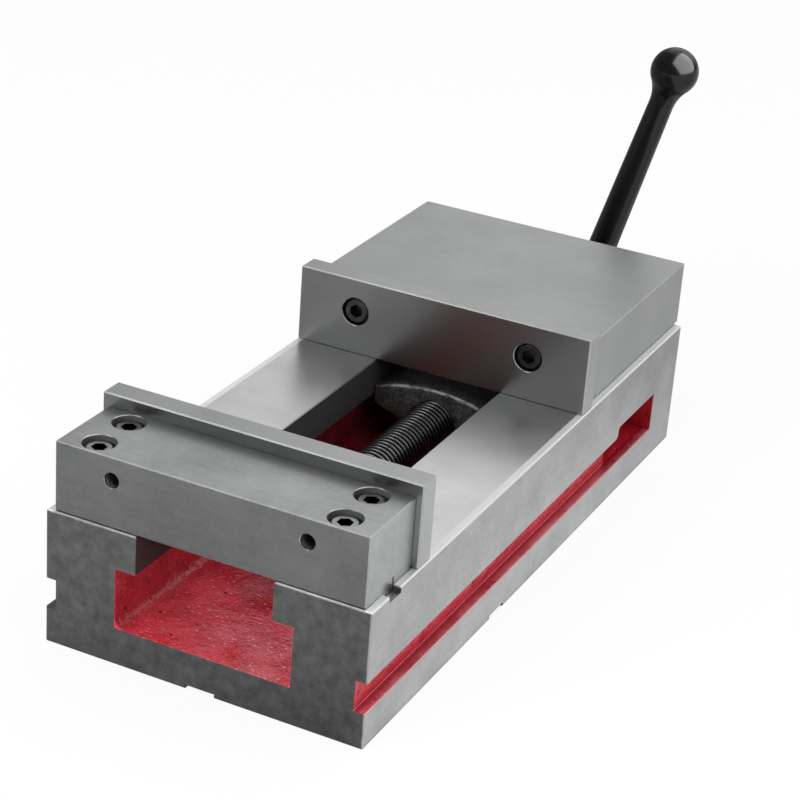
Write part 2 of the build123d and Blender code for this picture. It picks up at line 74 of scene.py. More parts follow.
def camera_axes(azimuth, elevation, roll):
    """Right, up and forward: forward dips by the elevation, and right and up turn about it by the roll."""
    a, e, t = (math.radians(v) for v in (azimuth, elevation, roll))
    forward = Vector((-math.sin(a) * math.cos(e), math.cos(a) * math.cos(e), -math.sin(e)))
    level = Vector((math.cos(a), math.sin(a), 0))
    upright = level.cross(forward)
    right = level * math.cos(t) + upright * math.sin(t)
    up = upright * math.cos(t) - level * math.sin(t)
    return right, up, forward


right, up, forward = camera_axes(camera_azimuth, camera_elevation, camera_roll)
camera = bpy.data.objects.new("camera", bpy.data.cameras.new("camera"))
bpy.context.scene.collection.objects.link(camera)
turn = Matrix((right, up, -forward)).transposed()
camera.matrix_world = Matrix.Translation(camera_place) @ turn.to_4x4()
camera.data.sensor_width = 36.0
camera.data.lens = camera_lens
bpy.context.scene.camera = camera
bpy.context.scene.view_settings.view_transform = "Standard"
print("camera looks along", [round(v, 3) for v in forward])

# %% [markdown]
# A few helpers serve every finish. A colour is written as it looks on a screen, in hex, and a shader
# wants it linear, so one function turns it. Another adds a node, sets what it is given and links what it
# is given, which keeps each material down to a few readable lines. The last three start a material, give
# it a surface with a relief, and end it.

# %% Colour and node helpers
def linear(hex_colour):
    """Each channel of an sRGB hex colour, turned linear by the sRGB curve, with alpha 1."""
    channels = [int(hex_colour[i:i + 2], 16) / 255 for i in (1, 3, 5)]
    return tuple(c / 12.92 if c <= 0.04045 else ((c + 0.055) / 1.055) ** 2.4 for c in channels) + (1.0,)


def add(tree, kind, inputs=None, **settings):
    """Adds a node. Settings are its own properties. Inputs are values, or sockets and nodes to link,
    where a node stands for its first output in use."""
    node = tree.nodes.new(kind)
    for name, value in settings.items():
        setattr(node, name, value)
    for name, value in (inputs or {}).items():
        if isinstance(name, int):
            socket = node.inputs[name]
        else:
            socket = next(s for s in node.inputs if s.enabled and s.name == name)
        if isinstance(value, bpy.types.Node):
            value = next(s for s in value.outputs if s.enabled)
        if isinstance(value, bpy.types.NodeSocket):
            tree.links.new(value, socket)
        else:
            socket.default_value = value
    return node


def start_material(name):
    """A new material: itself, its empty tree, and the Object coordinates that its patterns follow."""
    material = bpy.data.materials.new(name)
    material.use_nodes = True
    material.node_tree.nodes.clear()
    place = add(material.node_tree, "ShaderNodeTexCoord").outputs["Object"]
    return material, material.node_tree, place


def surface(tree, colour, rough, metallic, height, lift_mm, **more):
    """A Principled shader whose surface stands lift_mm higher where height is 1 than where it is 0."""
    bump = add(tree, "ShaderNodeBump", {"Strength": 1.0, "Distance": lift_mm * MM, "Height": height})
    return add(tree, "ShaderNodeBsdfPrincipled",
               {"Base Color": colour, "Roughness": rough, "Metallic": metallic, "Normal": bump, **more})


def end_material(material, shader):
    """Sends a shader to the material's output, and gives the material back."""
    add(material.node_tree, "ShaderNodeOutputMaterial", {"Surface": shader})
    return material


print("steel grey #9e9f9f is linear", round(linear("#9e9f9f")[0], 3))

# %% [markdown]
# The studio is a wide pale floor that the camera sees as white, with a trace of the vise's shadow left
# in it. Ground steel is a dull mirror, so it shows whatever stands around it. A photographer lays a
# dark cloth in front of such an object, to give its front faces depth, and leaves the side pale. The
# cloth here lies in front, on the left and beneath, and thins out to nothing on the right, so that the
# pale floor shows through. Reflections see it, and the camera never does.

# %% Floor and dark cloth
# In X the cloth ends at its edge and darkens where it fades; along Y it thins beyond its edge.
cloth_edge = (75.0, 76.5)
cloth_thins = (80.0, 260.0)
cloth_fades = (-10.0, 50.0)


def flat_sheet(name, half_size, z):
    """A square at height z about the middle of the floor, from its half size in metres."""
    h = half_size
    mesh = bpy.data.meshes.new(name)
    mesh.from_pydata([(-h, -h, z), (h, -h, z), (h, h, z), (-h, h, z)], [], [(0, 1, 2, 3)])
    sheet = bpy.data.objects.new(name, mesh)
    bpy.context.scene.collection.objects.link(sheet)
    return sheet


def paper_floor():
    """Matte white paper, mixed with a white glow for the rays that the camera, gloss or glass sends."""
    material, tree, _ = start_material("white paper sweep")
    path = add(tree, "ShaderNodeLightPath")
    seen = add(tree, "ShaderNodeMath",
               {0: path.outputs["Is Camera Ray"], 1: path.outputs["Is Glossy Ray"]}, operation="MAXIMUM")
    seen = add(tree, "ShaderNodeMath", {0: seen, 1: path.outputs["Is Transmission Ray"]},
               operation="MAXIMUM")
    share = add(tree, "ShaderNodeMath", {0: seen, 1: 0.9}, operation="MULTIPLY")
    matte = add(tree, "ShaderNodeBsdfDiffuse", {"Color": linear("#f0f0f0")})
    glow = add(tree, "ShaderNodeEmission", {"Color": linear("#ffffff"), "Strength": 1.0})
    mixed = add(tree, "ShaderNodeMixShader", {0: share, 1: matte, 2: glow})
    return end_material(material, mixed)


def thin_cloth():
    """Grey cotton, whole on the left of the vise's right side, open to its right in front, and two fifths
    woven behind that. It darkens a little towards the right."""
    material, tree, place = start_material("thin grey cotton cloth")
    split = add(tree, "ShaderNodeSeparateXYZ", {0: place}).outputs
    right = add(tree, "ShaderNodeMapRange",
                {"Value": split["X"], "From Min": cloth_edge[0] * MM, "From Max": cloth_edge[1] * MM})
    front = add(tree, "ShaderNodeMapRange",
                {"Value": split["Y"], "From Min": cloth_thins[0] * MM, "From Max": cloth_thins[1] * MM,
                 "To Min": 1.0, "To Max": 0.60}, interpolation_type="SMOOTHSTEP")
    open_share = add(tree, "ShaderNodeMath", {0: right, 1: front}, operation="MULTIPLY")
    faded = add(tree, "ShaderNodeMapRange",
                {"Value": split["X"], "From Min": cloth_fades[0] * MM, "From Max": cloth_fades[1] * MM})
    grey = add(tree, "ShaderNodeMix", {"Factor": faded, "A": linear("#979797"), "B": linear("#878787")},
               data_type="RGBA")
    matte = add(tree, "ShaderNodeBsdfDiffuse", {"Color": grey})
    clear = add(tree, "ShaderNodeBsdfTransparent")
    mixed = add(tree, "ShaderNodeMixShader", {0: open_share, 1: matte, 2: clear})
    return end_material(material, mixed)


floor = flat_sheet("floor", 6, 0)
floor.data.materials.append(paper_floor())
cloth = flat_sheet("cloth", 3, 0.2 * MM)
cloth.data.materials.append(thin_cloth())
for ray in ("visible_camera", "visible_diffuse", "visible_transmission", "visible_shadow"):
    setattr(cloth, ray, False)
print("stage:", floor.name, cloth.name)

# %% [markdown]
# The light comes from a dome and three softboxes. The dome is a dim grey with one bright patch, high at
# the back, which the top faces reflect: its soft edge falls across them and gives them their slow
# change from pale to grey. The softbox in front fills shadows and is kept out of reflections. The one
# overhead draws bright lines along the broken edges, and the large one on the right lights every face
# that looks its way.

# %% Dome and softboxes
def lit_dome(low, high, towards):
    """A world that grows from low to high as a ray turns towards one side, by a smooth step."""
    world = bpy.data.worlds.new("studio dome")
    bpy.context.scene.world = world
    world.use_nodes = True
    tree = world.node_tree
    tree.nodes.clear()
    ray = add(tree, "ShaderNodeTexCoord").outputs["Generated"]
    side = add(tree, "ShaderNodeVectorMath", {0: ray, 1: Vector(towards).normalized()},
               operation="DOT_PRODUCT").outputs["Value"]
    strength = add(tree, "ShaderNodeMapRange",
                   {"Value": side, "From Min": 0.70, "From Max": 0.92, "To Min": low, "To Max": high},
                   interpolation_type="SMOOTHSTEP")
    back = add(tree, "ShaderNodeBackground", {"Color": linear("#ffffff"), "Strength": strength})
    add(tree, "ShaderNodeOutputWorld", {"Surface": back})


def softbox(name, place, aim, width, height, watts):
    """A rectangular area lamp that hangs at a place and points at another."""
    lamp = bpy.data.lights.new(name, "AREA")
    lamp.shape = "RECTANGLE"
    lamp.size = width
    lamp.size_y = height
    lamp.energy = watts
    holder = bpy.data.objects.new(name, lamp)
    holder.location = place
    holder.rotation_euler = (Vector(aim) - Vector(place)).to_track_quat("-Z", "Y").to_euler()
    bpy.context.scene.collection.objects.link(holder)
    return holder


lit_dome(low=0.22, high=1.14, towards=(0.062, 0.704, 0.707))
vise_middle = (0, 0, 0.05)
fill = softbox("softbox_front", (-0.5, -1.9, 0.75), vise_middle, width=1.4, height=0.7, watts=40)
fill.visible_glossy = False
softbox("softbox_right", (1.45, 0.15, 1.75), vise_middle, width=3.6, height=3.6, watts=46)
overhead = softbox("softbox_overhead", (-0.84, -0.95, 1.7), vise_middle, width=0.9, height=0.9, watts=4.5)

# %% [markdown]
# Ground metal is drawn from three patterns. Clouds some 30 mm across, with smudges down to 4 mm in
# them, change the grey a little, as uneven grinding and handling do. Specks of 2 mm are the grain.
# Lines, 0.6 mm apart and forty times as long as wide, are the marks of the wheel; real ones are a tenth
# of that, and would not show. All three also move the roughness, and the lines lift the surface by
# microns.

# %% Ground metal
grinding_line_mm = 0.6
grain_speck_mm = 2.2
line_stretch = {"x": (1 / 40, 1, 1), "y": (1, 1 / 40, 1), "z": (1, 1, 1 / 40)}


def ground_pattern(tree, place, lines_along, cloud_mm):
    """How light a spot of a ground face is, from 0 to 1, and the height of its grinding lines."""
    clouds = add(tree, "ShaderNodeTexNoise",
                 {"Vector": place, "Scale": 1 / (cloud_mm * MM), "Detail": 4.0, "Roughness": 0.62})
    grain = add(tree, "ShaderNodeTexNoise",
                {"Vector": place, "Scale": 1 / (grain_speck_mm * MM), "Detail": 2.0})
    across = 1 / (grinding_line_mm * MM)
    drawn = add(tree, "ShaderNodeMapping",
                {"Vector": place, "Scale": tuple(across * s for s in line_stretch[lines_along])})
    lines = add(tree, "ShaderNodeTexNoise", {"Vector": drawn, "Scale": 1.0, "Detail": 1.0})
    both = add(tree, "ShaderNodeMath", {0: grain, 1: lines}, operation="ADD")
    fine = add(tree, "ShaderNodeMapRange",
               {"Value": both, "From Min": 0.7, "From Max": 1.3, "To Min": 0.0, "To Max": 0.3})
    broad = add(tree, "ShaderNodeMapRange",
                {"Value": clouds, "From Min": 0.3, "From Max": 0.7, "To Min": 0.0, "To Max": 0.7})
    share = add(tree, "ShaderNodeMath", {0: fine, 1: broad}, operation="ADD")
    return share, lines


def ground_face(tree, place, dark, light, lines_along, gloss, cloud_mm=32.0):
    """Colour, roughness and line height of one ground face. Gloss is the least and most roughness."""
    share, lines = ground_pattern(tree, place, lines_along, cloud_mm)
    colour = add(tree, "ShaderNodeMix", {"Factor": share, "A": linear(dark), "B": linear(light)},
                 data_type="RGBA")
    rough = add(tree, "ShaderNodeMapRange",
                {"Value": share, "From Min": 0.2, "From Max": 0.8, "To Min": gloss[1], "To Max": gloss[0]})
    return colour, rough, lines


# %% [markdown]
# The fixed jaw is held by four screws in counterbores, whose walls are painted dark as the shade in
# them. Which part of the block is such a wall is told by place: how far it is from the nearest screw's
# axis, and how far below the top. The screws' own faces are told apart the same way further on.

# %% Places about the jaw's bolts
jaw_bolt_x = 56.5
jaw_bolt_rows = (-159.3, -137.3)
jaw_top = 95.0
bore_reach = 7.3
bore_lip = 0.4


def from_bolt_axis(tree, place):
    """The distance from a place to the nearest upright axis of the jaw's four bolts, with height left out:
    left and right are folded together first."""
    side = add(tree, "ShaderNodeVectorMath", {0: place}, operation="ABSOLUTE").outputs[0]
    flat = add(tree, "ShaderNodeVectorMath", {0: side, 1: (1, 1, 0)}, operation="MULTIPLY")
    reach = [add(tree, "ShaderNodeVectorMath", {0: flat, 1: (jaw_bolt_x * MM, -y * MM, 0)},
                 operation="DISTANCE").outputs["Value"] for y in jaw_bolt_rows]
    return add(tree, "ShaderNodeMath", {0: reach[0], 1: reach[1]}, operation="MINIMUM")


def below(tree, place, height):
    """1 where a place is lower than a height in mm."""
    z = add(tree, "ShaderNodeSeparateXYZ", {0: place}).outputs["Z"]
    return add(tree, "ShaderNodeMath", {0: z, 1: height * MM}, operation="LESS_THAN")


def shaded_bores(tree, place):
    """Where the counterbores' painted shade goes: 1 on their walls and 0 elsewhere."""
    near = add(tree, "ShaderNodeMath", {0: from_bolt_axis(tree, place), 1: bore_reach * MM},
               operation="LESS_THAN")
    return add(tree, "ShaderNodeMath", {0: near, 1: below(tree, place, jaw_top - bore_lip)},
               operation="MULTIPLY")


# %% Steel of the jaws
def ground_steel(name, dark, light, lines_along, lift_mm=0.004, shade_where=None, **more):
    """Steel ground flat all over: a soft grey mirror with faint lines. Where the given mask says so, it is
    painted darker as shade and is less of a mirror."""
    material, tree, place = start_material(name)
    colour, rough, lines = ground_face(tree, place, dark, light, lines_along, **more)
    metallic = 1.0
    if shade_where:
        # Painted shade: where the mask says so, the colour is mixed towards a dark grey.
        shaded_part = shade_where(tree, place)
        colour = add(tree, "ShaderNodeMix", {"Factor": shaded_part, "A": colour, "B": linear("#555656")},
                     data_type="RGBA")
        metallic = add(tree, "ShaderNodeMapRange", {"Value": shaded_part, "To Min": 1.0, "To Max": 0.3})
    return end_material(material, surface(tree, colour, rough, metallic, lines, lift_mm))


block_steel = ground_steel("ground block steel", "#a6a7a7", "#b2b3b3", "x", gloss=(0.44, 0.47))
bored_steel = ground_steel("ground block steel, shaded in its bores", "#989999", "#b8b9b9", "x",
                           gloss=(0.35, 0.39), shade_where=shaded_bores)
plate_steel = ground_steel("ground hardened plate steel", "#a0a1a1", "#b0b1b1", "x",
                           gloss=(0.29, 0.33), lift_mm=0.001, cloud_mm=45.0)
print("made:", block_steel.name, "|", bored_steel.name, "|", plate_steel.name)

# %% [markdown]
# Red machine enamel is a thick gloss paint brushed onto the rough casting, and it keeps the bumps and
# pits of the sand mould below it. A Principled shader with no metal and low roughness gives the gloss.
# Two sizes of noise give waves and grit. Cells 8 mm apart, of which two in five keep a pit in their
# middle, give the pits. In the channel, cells 2.4 mm apart give round drops in the same way, and their
# crests are painted pale, a painted highlight for the sparkle of lumpy paint. A thin painted sheen, in
# patches of 22 mm and with grit in it, lies over the channel and grows towards the right, as light
# falling from the right would; in the side grooves it keeps to the ledge's rim.

# %% Relief of the enamel
cast_wave_mm = 5.0
sand_grit_mm = 1.3
pit_spacing_mm = 8.0
drop_spacing_mm = 2.4
relief_mm = 0.8


def spots(tree, place, spacing_mm, start, stop, channel, least, **more):
    """Round spots that fall from 1 at start to 0 at stop, as shares of the cells' spacing, in the cells
    whose random colour has more than least in one channel."""
    cells = add(tree, "ShaderNodeTexVoronoi", {"Vector": place, "Scale": 1 / (spacing_mm * MM)}).outputs
    spot = add(tree, "ShaderNodeMapRange", {"Value": cells["Distance"], "From Min": start, "From Max": stop,
                                            "To Min": 1.0, "To Max": 0.0}, **more)
    chosen = add(tree, "ShaderNodeSeparateColor", {"Color": cells["Color"]}).outputs[channel]
    chosen = add(tree, "ShaderNodeMath", {0: chosen, 1: least}, operation="GREATER_THAN")
    return add(tree, "ShaderNodeMath", {0: spot, 1: chosen}, operation="MULTIPLY")


def enamel_relief(tree, place, in_channel):
    """Height is the waves, a share of grit and of drops, less the pits. Grit is stronger in the channel,
    and drops are only there. Also gives the grit, drops and pits."""
    waves = add(tree, "ShaderNodeTexNoise",
                {"Vector": place, "Scale": 1 / (cast_wave_mm * MM), "Detail": 3.0})
    grit = add(tree, "ShaderNodeTexNoise",
               {"Vector": place, "Scale": 1 / (sand_grit_mm * MM), "Detail": 2.0})
    pits = spots(tree, place, pit_spacing_mm, 0.05, 0.15, "Red", 0.6)
    drops = spots(tree, place, drop_spacing_mm, 0.08, 0.36, "Green", 0.6, interpolation_type="SMOOTHSTEP")
    drops = add(tree, "ShaderNodeMath", {0: drops, 1: in_channel}, operation="MULTIPLY")
    gritty = add(tree, "ShaderNodeMapRange", {"Value": in_channel, "To Min": 0.30, "To Max": 0.65})
    height = add(tree, "ShaderNodeMath", {0: grit, 1: gritty, 2: waves}, operation="MULTIPLY_ADD")
    height = add(tree, "ShaderNodeMath", {0: drops, 1: 0.2, 2: height}, operation="MULTIPLY_ADD")
    height = add(tree, "ShaderNodeMath", {0: height, 1: pits}, operation="SUBTRACT")
    return height, grit, drops, pits


# %% Red enamel
coat_mm = 14.0
sheen_patch_mm = 22.0
# Measured out from the bed's middle, except for the last two, which run from left to right.
channel_reach = 43.0
rim_start, rim_stop = 71.5, 74.5
light_from, light_to = -30.0, 30.0


def enamel_sheen_and_glints(tree, place, ledge, in_channel, grit, drops):
    """Painted sheen and glints: how pale the enamel is painted, from patches of sheen and grit, more of it
    on the right where the light falls, and painted glints on the drops' crests; all of it in the channel and
    on the outer rim of the ledge."""
    across = add(tree, "ShaderNodeSeparateXYZ", {0: place}).outputs["X"]
    out = add(tree, "ShaderNodeMath", {0: across}, operation="ABSOLUTE")
    lit = add(tree, "ShaderNodeMapRange", {"Value": across, "From Min": light_from * MM,
                                           "From Max": light_to * MM, "To Min": 0.25, "To Max": 1.0})
    rim = add(tree, "ShaderNodeMapRange",
              {"Value": out, "From Min": rim_start * MM, "From Max": rim_stop * MM})
    sheen_places = add(tree, "ShaderNodeMath", {0: ledge, 1: rim, 2: in_channel}, operation="MULTIPLY_ADD")
    sheen_patches = add(tree, "ShaderNodeTexNoise", {"Vector": place, "Scale": 1 / (sheen_patch_mm * MM), "Detail": 3.0})
    sheen_and_glints = add(tree, "ShaderNodeMath", {0: grit, 1: 0.5, 2: sheen_patches}, operation="MULTIPLY_ADD")
    sheen_and_glints = add(tree, "ShaderNodeMapRange",
               {"Value": sheen_and_glints, "From Min": 0.55, "From Max": 0.95, "To Min": 0.0, "To Max": 0.55})
    sheen_and_glints = add(tree, "ShaderNodeMath", {0: sheen_and_glints, 1: lit}, operation="MULTIPLY")
    # The drops' crests get a painted glint, stronger on the right.
    crest = add(tree, "ShaderNodeMapRange", {"Value": lit, "To Min": 0.15, "To Max": 0.9})
    sheen_and_glints = add(tree, "ShaderNodeMath", {0: drops, 1: crest, 2: sheen_and_glints}, operation="MULTIPLY_ADD",
               use_clamp=True)
    return add(tree, "ShaderNodeMath", {0: sheen_and_glints, 1: sheen_places}, operation="MULTIPLY")


def red_enamel(tree, place, shade, ledge, seam_highlight):
    """Gloss red paint over a cast skin, in coats of uneven tone. The ledge is darker, a painted highlight
    makes the seams pale, a pit is nearly black, and painted shade dims it all."""
    across = add(tree, "ShaderNodeSeparateXYZ", {0: place}).outputs["X"]
    out = add(tree, "ShaderNodeMath", {0: across}, operation="ABSOLUTE")
    in_channel = add(tree, "ShaderNodeMath", {0: out, 1: channel_reach * MM}, operation="LESS_THAN")
    height, grit, drops, pits = enamel_relief(tree, place, in_channel)
    sheen_and_glints = enamel_sheen_and_glints(tree, place, ledge, in_channel, grit, drops)
    coats = add(tree, "ShaderNodeTexNoise", {"Vector": place, "Scale": 1 / (coat_mm * MM), "Detail": 4.0})
    tone = add(tree, "ShaderNodeMapRange", {"Value": coats, "From Min": 0.35, "From Max": 0.65})
    colour = add(tree, "ShaderNodeMix", {"Factor": tone, "A": linear("#b41a2b"), "B": linear("#ce2839")},
                 data_type="RGBA")
    # Over the paint's tone go the ledge, painted sheen and glints, painted highlights on the seams, and
    # pits.
    for where, layer in ((ledge, "#98182e"), (sheen_and_glints, "#ea98a2"), (seam_highlight, "#f4a8ac"), (pits, "#5a0c14")):
        colour = add(tree, "ShaderNodeMix", {"Factor": where, "A": colour, "B": linear(layer)},
                     data_type="RGBA")
    # Painted shade darkens the paint towards black.
    colour = add(tree, "ShaderNodeMix", {"Factor": shade, "A": linear("#000000"), "B": colour},
                 data_type="RGBA")
    return surface(tree, colour, rough=0.26, metallic=0.0, height=height, lift_mm=relief_mm)


# %% [markdown]
# The bed is grey cast iron. Its outside is ground, the channel, side grooves and windows stay as cast
# and are painted, and the walls of the slot are milled and dark. One piece with several finishes could
# be cut into several meshes, but the frame's mesh stays whole, so the finish is chosen by place: a test
# on Object coordinates says what lies inside a box.

# %% Test of place
def inside(tree, place, low, high):
    """1 inside a box and 0 outside: the largest of the three distances from its middle, each less half
    the box's size on that axis, is below zero only inside."""
    middle = tuple((a + b) / 2 * MM for a, b in zip(low, high))
    half = tuple((b - a) / 2 * MM for a, b in zip(low, high))
    out = add(tree, "ShaderNodeVectorMath", {0: place, 1: middle}, operation="SUBTRACT")
    out = add(tree, "ShaderNodeVectorMath", {0: out}, operation="ABSOLUTE")
    out = add(tree, "ShaderNodeVectorMath", {0: out, 1: half}, operation="SUBTRACT")
    axes = add(tree, "ShaderNodeSeparateXYZ", {0: out}).outputs
    most = add(tree, "ShaderNodeMath", {0: axes[0], 1: axes[1]}, operation="MAXIMUM")
    most = add(tree, "ShaderNodeMath", {0: most, 1: axes[2]}, operation="MAXIMUM")
    return add(tree, "ShaderNodeMath", {0: most, 1: 0.0}, operation="LESS_THAN")


# %% Places on the bed
bed_low, bed_high = (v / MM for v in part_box("bed"))
half_bed = bed_high.x
bed_front, bed_back = bed_low.y, bed_high.y
bed_top = bed_high.z
channel_half, channel_floor = 41.6, 17.6
rail_underside = 45.38
slot_half = 32.1
groove_wall = 70.4
groove_low, groove_high = 16.7, 30.9
window_start, window_end, window_high = 88.0, 139.2, 36.6
window_slope = 3.0
wall_front = 145.1
# Paint ends just inside the bed's sides, and a front or edge finish reaches only so far in from them.
paint_stop = 0.05
front_skin, edge_skin = 0.3, 0.7
# From here out, a pale strip is painted along the rails' outer edge, as the highlight that edge catches.
edge_highlight_start = 72.1
bare_length = 12.0
# The ledge is the groove's floor. Pale lines are painted along its inner corner and its outer edge, as
# highlights on the seams.
ledge_rise = 0.15
inner_seam_width, inner_seam_height = 0.2, 0.6
outer_seam_width = 0.45
# The channel's paint darkens between two places along Y, above a height: painted shade, falling further back
# in the channel.
dark_from, dark_to, dark_low = -110.0, -70.0, 10.0
before_front = bed_front - 1
behind_front = bed_front + front_skin


def painted_places(tree, side):
    """1 in the channel, the side grooves and the windows. Side is the place with its X made positive."""
    channel = inside(tree, side, (-1, before_front, channel_floor),
                     (channel_half, wall_front, rail_underside))
    groove = inside(tree, side, (groove_wall, before_front, groove_low),
                    (half_bed - paint_stop, window_end, groove_high))
    window = inside(tree, side, (channel_half - 1, window_start, groove_low),
                    (half_bed - paint_stop, window_end, window_high))
    painted = add(tree, "ShaderNodeMath", {0: channel, 1: groove}, operation="MAXIMUM")
    return add(tree, "ShaderNodeMath", {0: painted, 1: window}, operation="MAXIMUM")


def enamel_places(tree, place, side):
    """Painted shade: how bright the paint is, from 1 in front to darker far back in the channel and in the
    windows, where shade falls; where the groove's ledge is; and the two painted highlight lines along that
    ledge."""
    along = add(tree, "ShaderNodeSeparateXYZ", {0: place}).outputs["Y"]
    depth_shade = add(tree, "ShaderNodeMapRange", {"Value": along, "From Min": dark_from * MM,
                                            "From Max": dark_to * MM, "To Min": 0.0, "To Max": 0.66})
    channel = inside(tree, side, (-1, before_front, dark_low), (channel_half, wall_front, rail_underside))
    window = inside(tree, side, (channel_half, window_start - window_slope, groove_low),
                    (half_bed, window_end, window_high))
    # Painted shade: the paint is dimmed far back in the channel, and a little in the windows.
    painted_dim = add(tree, "ShaderNodeMath", {0: channel, 1: depth_shade}, operation="MULTIPLY")
    painted_dim = add(tree, "ShaderNodeMath", {0: window, 1: 0.15, 2: painted_dim}, operation="MULTIPLY_ADD")
    shade = add(tree, "ShaderNodeMath", {0: 1.0, 1: painted_dim}, operation="SUBTRACT")
    ledge_top = groove_low + ledge_rise
    ledge = inside(tree, side, (groove_wall, before_front, groove_low), (half_bed, window_end, ledge_top))
    inner = inside(tree, side, (groove_wall, before_front, ledge_top),
                   (groove_wall + inner_seam_width, window_start, ledge_top + inner_seam_height))
    outer = inside(tree, side, (half_bed - outer_seam_width, before_front, groove_low),
                   (half_bed, window_end, ledge_top))
    # The pale lines along the seams are painted highlights.
    seam_highlight = add(tree, "ShaderNodeMath", {0: inner, 1: 0.6, 2: outer}, operation="MULTIPLY_ADD")
    return shade, ledge, seam_highlight


# %% Bed finish
blotch_mm = 6.0
line_lift_mm = 0.005


def ground_iron(tree, place, side, bare):
    """Cast iron, ground: grey on the sides, blotched in front, paler on the rails with a painted highlight,
    a pale strip, along their outer edge, dark and dull on the milled walls of the slot and where the groove
    is bare."""
    slot_wall = inside(tree, side, (-1, behind_front, rail_underside - 0.1),
                       (slot_half, wall_front, bed_top - edge_skin))
    front_face = inside(tree, side, (-1, before_front, -1), (half_bed + 1, behind_front, bed_top + 1))
    top_face = inside(tree, side, (-1, behind_front, bed_top - 0.1), (half_bed + 1, bed_back, bed_top + 1))
    edge_highlight = inside(tree, side, (edge_highlight_start, behind_front, bed_top - edge_skin),
                   (half_bed + 1, bed_back, bed_top + 1))
    blotches = add(tree, "ShaderNodeTexNoise",
                   {"Vector": place, "Scale": 1 / (blotch_mm * MM), "Detail": 5.0, "Roughness": 0.7})
    blotches = add(tree, "ShaderNodeMapRange", {"Value": blotches, "From Min": 0.3, "From Max": 0.7})
    front_grey = add(tree, "ShaderNodeMix",
                     {"Factor": blotches, "A": linear("#7e7f7f"), "B": linear("#a6a7a7")}, data_type="RGBA")
    grey, rough, lines = ground_face(tree, place, "#979898", "#b1b2b1", "y", gloss=(0.28, 0.38))
    top_grey, top_rough, _ = ground_face(tree, place, "#cacbcb", "#d8d9d8", "y", gloss=(0.30, 0.38))
    for where, other in ((front_face, front_grey), (top_face, top_grey), (slot_wall, linear("#464747")),
                         (edge_highlight, linear("#dcdddd")), (bare, linear("#4e4f4f"))):
        grey = add(tree, "ShaderNodeMix", {"Factor": where, "A": grey, "B": other}, data_type="RGBA")
    for where, other in ((top_face, top_rough), (slot_wall, 0.55)):
        rough = add(tree, "ShaderNodeMix", {"Factor": where, "A": rough, "B": other}, data_type="FLOAT")
    dull = add(tree, "ShaderNodeMath", {0: slot_wall, 1: edge_highlight}, operation="MAXIMUM")
    metallic = add(tree, "ShaderNodeMapRange", {"Value": dull, "To Min": 1.0, "To Max": 0.4})
    return surface(tree, grey, rough, metallic, lines, line_lift_mm)


def bed_material():
    """Red enamel in the channel, grooves and windows, and ground iron elsewhere. The left groove is bare
    for a short way in from the front."""
    material, tree, place = start_material("ground cast iron and red enamel")
    split = add(tree, "ShaderNodeSeparateXYZ", {0: place}).outputs
    across = add(tree, "ShaderNodeMath", {0: split["X"]}, operation="ABSOLUTE")
    side = add(tree, "ShaderNodeCombineXYZ", {"X": across, "Y": split["Y"], "Z": split["Z"]})
    bare = inside(tree, place, (-half_bed - 1, before_front, groove_low),
                  (-groove_wall, bed_front + bare_length, groove_high))
    painted = add(tree, "ShaderNodeMath", {0: painted_places(tree, side), 1: bare}, operation="SUBTRACT",
                  use_clamp=True)
    iron = ground_iron(tree, place, side, bare)
    enamel = red_enamel(tree, place, *enamel_places(tree, place, side))
    mixed = add(tree, "ShaderNodeMixShader", {0: painted, 1: iron, 2: enamel})
    return end_material(material, mixed)


bed_finish = bed_material()
print("made", bed_finish.name, "for a bed", round(2 * half_bed), "mm wide")

# %% [markdown]
# The smaller parts have finishes of their own. The nut is a rough sand casting, dark with oil, and
# bright on its rounded edge, worn there and given a painted highlight. The lead screw is turned steel,
# painted near black in its groove as shade.

# %% Nut and lead screw
lump_mm = 7.0
casting_grit_mm = 1.2
casting_relief_mm = 0.5
screw_axis_z = 38.5
# Between these radii the colour goes from the root's painted shade to the crest's grey.
shade_from, shade_to = 10.1, 10.9
oil_streak_mm = 2.0


